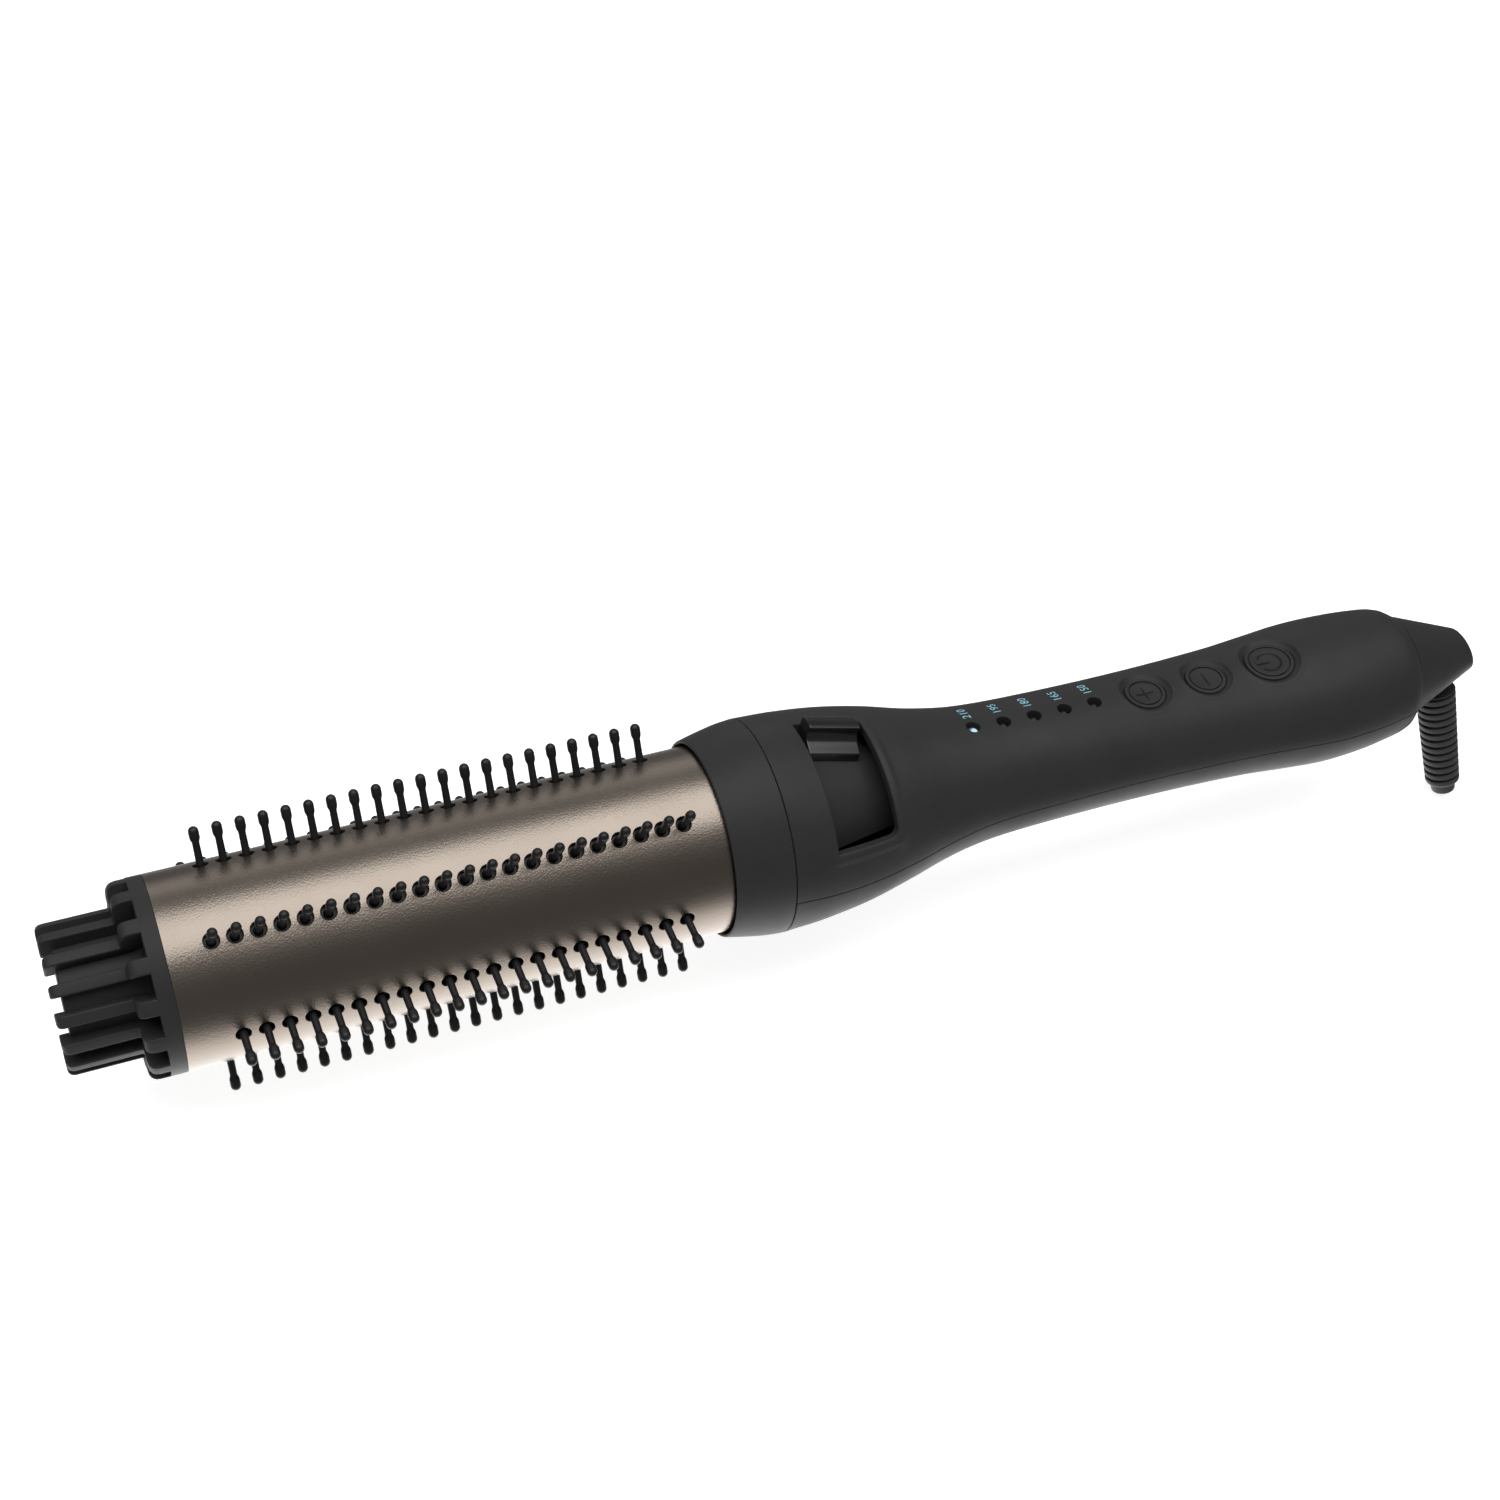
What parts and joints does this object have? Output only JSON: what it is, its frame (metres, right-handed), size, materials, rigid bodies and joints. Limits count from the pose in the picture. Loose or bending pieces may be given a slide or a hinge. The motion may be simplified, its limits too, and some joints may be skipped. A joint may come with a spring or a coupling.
{
  "type": "heated round hair brush",
  "caption": "Heated round brush with a metal barrel, rows of bristles that retract by a thumb lever, a finger cap, a slim handle with buttons and lights, and a swivelling cord outlet.",
  "frame": {"origin": "centre of the finger cap's flat end face, on the brush's long axis", "axes": "+X along the brush from the finger cap to the cord outlet, +Z towards the buttons and lights, -Y towards the front, where the thumb lever is pushed to"},
  "size_m": [0.3092, 0.053, 0.0568],
  "materials": {
    "matte_black_plastic": "fine matt moulded",
    "bronze_metal": "blasted satin, warm titanium grey",
    "bristle_plastic": "satin heat-resistant nylon",
    "gloss_black_plastic": "gloss",
    "heat_plastic": "natural heat-resistant moulding",
    "steel": "bright",
    "heater_film": "polyimide film",
    "sensor_red": "epoxy",
    "white_plastic": "sleeving",
    "board_green": "solder mask",
    "part_blue": "sleeved components",
    "lead_red": "lead insulation",
    "brass": "bright",
    "lit_lens": "lit pale blue",
    "dark_lens": "smoked",
    "relief_rubber": "matt"
  },
  "bodies": {
    "casing": {"tip_cap": "matte_black_plastic", "tip_plug": "matte_black_plastic", "barrel_tube": "bronze_metal", "front_guide": "heat_plastic", "rear_guide": "heat_plastic", "heater_bar_1": "heater_film", "heater_bar_2": "heater_film", "heater_bar_3": "heater_film", "temperature_sensor": "sensor_red", "thermal_fuse": "white_plastic", "heater_leads": "white_plastic", "barrel_mount": "heat_plastic", "collar": "matte_black_plastic", "top_housing": "matte_black_plastic", "bottom_housing": "matte_black_plastic", "shaft_bracket": "heat_plastic", "bracket_screws": "steel", "detent_spring": "steel", "circuit_board": "board_green", "power_parts": "part_blue", "board_screws": "steel", "indicator_1": "lit_lens", "indicator_2": "dark_lens", "indicator_3": "dark_lens", "indicator_4": "dark_lens", "indicator_5": "dark_lens", "switch_plus": "gloss_black_plastic", "switch_minus": "gloss_black_plastic", "switch_power": "gloss_black_plastic", "supply_leads": "lead_red", "housing_screws": "steel", "contact_block": "white_plastic", "contact_springs": "brass"},
    "lever": {"cam_shaft": "steel", "front_cam": "steel", "rear_cam": "steel", "lever_shield": "gloss_black_plastic", "thumb_lever": "gloss_black_plastic", "lever_screw": "steel"},
    "row_1": {"bristle_row_1": "bristle_plastic"},
    "row_2": {"bristle_row_2": "bristle_plastic"},
    "row_3": {"bristle_row_3": "bristle_plastic"},
    "row_4": {"bristle_row_4": "bristle_plastic"},
    "row_5": {"bristle_row_5": "bristle_plastic"},
    "row_6": {"bristle_row_6": "bristle_plastic"},
    "plus_key": {"button_plus": "matte_black_plastic"},
    "minus_key": {"button_minus": "matte_black_plastic"},
    "power_key": {"button_power": "matte_black_plastic"},
    "swivel": {"swivel_neck": "matte_black_plastic", "slip_rings": "brass", "swivel_cone": "matte_black_plastic"},
    "relief": {"strain_relief": "relief_rubber"}
  },
  "joints": [
    {"name": "lever_turn", "type": "hinge", "parent": "casing", "child": "lever", "pos_m": [0.15, 0, 0], "axis": [1, 0, 0], "range_deg": [0, 52]},
    {"name": "row_1_slide", "type": "slide", "parent": "casing", "child": "row_1", "axis": [0, 0.5, -0.866], "range_m": [0, 0.0079]},
    {"name": "row_2_slide", "type": "slide", "parent": "casing", "child": "row_2", "axis": [0, -0.5, -0.866], "range_m": [0, 0.0079]},
    {"name": "row_3_slide", "type": "slide", "parent": "casing", "child": "row_3", "axis": [0, -1, 0], "range_m": [0, 0.0079]},
    {"name": "row_4_slide", "type": "slide", "parent": "casing", "child": "row_4", "axis": [0, -0.5, 0.866], "range_m": [0, 0.0079]},
    {"name": "row_5_slide", "type": "slide", "parent": "casing", "child": "row_5", "axis": [0, 0.5, 0.866], "range_m": [0, 0.0079]},
    {"name": "row_6_slide", "type": "slide", "parent": "casing", "child": "row_6", "axis": [0, 1, 0], "range_m": [0, 0.0079]},
    {"name": "plus_press", "type": "slide", "parent": "casing", "child": "plus_key", "axis": [0, 0, -1], "range_m": [0, 0.0006], "stiffness_N_per_m": 1500, "springref_m": -0.0003},
    {"name": "minus_press", "type": "slide", "parent": "casing", "child": "minus_key", "axis": [0, 0, -1], "range_m": [0, 0.0006], "stiffness_N_per_m": 1500, "springref_m": -0.0003},
    {"name": "power_press", "type": "slide", "parent": "casing", "child": "power_key", "axis": [0, 0, -1], "range_m": [0, 0.0006], "stiffness_N_per_m": 1500, "springref_m": -0.0003},
    {"name": "cord_swivel", "type": "hinge", "parent": "casing", "child": "swivel", "pos_m": [0.2875, 0, 0], "axis": [1, 0, 0], "continuous": true},
    {"name": "relief_tilt", "type": "hinge", "parent": "swivel", "child": "relief", "pos_m": [0.2985, 0, 0], "axis": [0, -0.9521, 0.3057], "range_deg": [-2, 16]}
  ],
  "couplings": [
    {"joint": "row_1_slide", "follows": "lever_turn", "m_per_rad": 0.0087046},
    {"joint": "row_2_slide", "follows": "lever_turn", "m_per_rad": 0.0087046},
    {"joint": "row_3_slide", "follows": "lever_turn", "m_per_rad": 0.0087046},
    {"joint": "row_4_slide", "follows": "lever_turn", "m_per_rad": 0.0087046},
    {"joint": "row_5_slide", "follows": "lever_turn", "m_per_rad": 0.0087046},
    {"joint": "row_6_slide", "follows": "lever_turn", "m_per_rad": 0.0087046}
  ]
}
